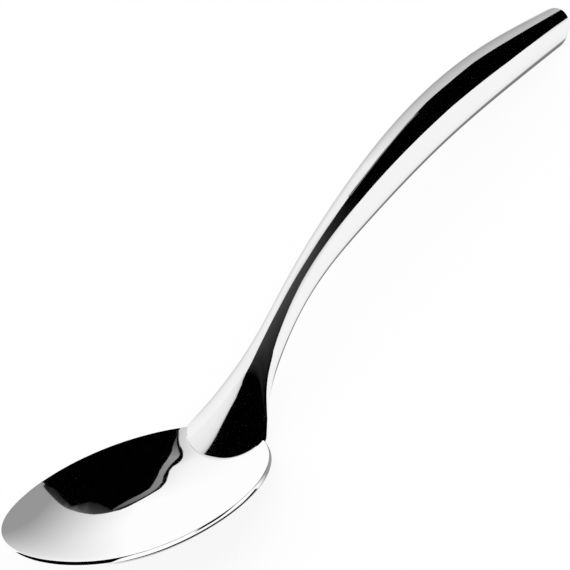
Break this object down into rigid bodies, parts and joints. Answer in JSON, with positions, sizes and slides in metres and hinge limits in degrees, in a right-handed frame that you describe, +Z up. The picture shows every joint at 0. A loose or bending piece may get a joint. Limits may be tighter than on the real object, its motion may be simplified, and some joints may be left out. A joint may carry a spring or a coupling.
{
  "type": "serving spoon",
  "caption": "Mirror-polished steel cooking and serving spoon with a wide shallow oval bowl and a thick hollow arched handle welded to its heel.",
  "frame": {"origin": "on the table, below the middle of the spoon's length and width, with the spoon lying bowl up", "axes": "+X from the bowl's tip to the end of the handle, +Y across the bowl, +Z up from the table"},
  "size_m": [0.2544, 0.063, 0.0278],
  "materials": {
    "polished_bowl_steel": "mirror-polished stainless steel sheet, 1.5 mm",
    "polished_handle_steel": "mirror-polished stainless steel shell, 1 mm",
    "blended_weld_steel": "weld metal ground flush and polished with the shells"
  },
  "bodies": {
    "root": {"bowl": "polished_bowl_steel", "handle_upper_shell": "polished_handle_steel", "handle_lower_shell": "polished_handle_steel", "seam_weld_left": "blended_weld_steel", "seam_weld_right": "blended_weld_steel", "heel_weld_upper": "blended_weld_steel", "heel_weld_lower": "blended_weld_steel", "end_weld": "blended_weld_steel", "end_cap": "polished_handle_steel", "vent_plug": "blended_weld_steel"}
  },
  "joints": []
}
